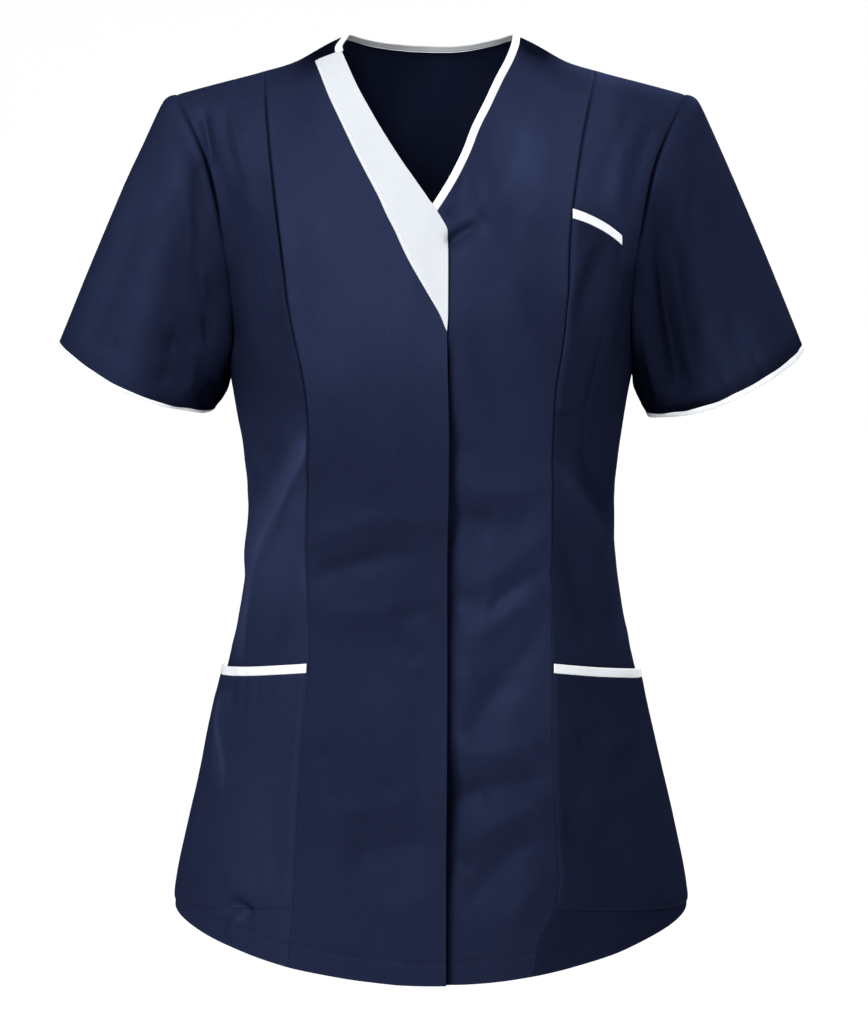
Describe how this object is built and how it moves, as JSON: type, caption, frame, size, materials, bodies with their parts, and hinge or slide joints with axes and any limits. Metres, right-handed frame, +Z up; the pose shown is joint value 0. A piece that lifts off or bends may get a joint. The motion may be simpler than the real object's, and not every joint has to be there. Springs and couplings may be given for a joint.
{
  "type": "work tunic",
  "caption": "Fitted short-sleeved work tunic with a V neck, one contrast lapel, princess seams, a covered front closing, bound edges, a breast pocket and lower pockets, worn and hollow.",
  "frame": {"origin": "midway between the two points where the neckline meets the shoulder seams, where the wearer's shoulders hold it up", "axes": "+Z up, front towards -Y, +X towards the wearer's left; the shoulder and side seams lie in the plane Y = 0"},
  "size_m": [0.5669, 0.2839, 0.6999],
  "materials": {
    "navy_cloth": "navy blue plain-woven polyester and cotton, matt with a slight sheen",
    "white_cloth": "white plain-woven polyester and cotton, matt"
  },
  "bodies": {
    "root": {"front_right": "navy_cloth", "front_left": "navy_cloth", "side_front_right": "navy_cloth", "side_front_left": "navy_cloth", "back": "navy_cloth", "sleeve_right": "navy_cloth", "sleeve_left": "navy_cloth", "breast_pocket": "navy_cloth", "lower_pocket_right": "navy_cloth", "lower_pocket_left": "navy_cloth", "neck_binding": "white_cloth", "lapel": "white_cloth", "breast_pocket_binding": "white_cloth", "lower_pocket_binding_right": "white_cloth", "lower_pocket_binding_left": "white_cloth", "sleeve_binding_right": "white_cloth", "sleeve_binding_left": "white_cloth"}
  },
  "joints": []
}
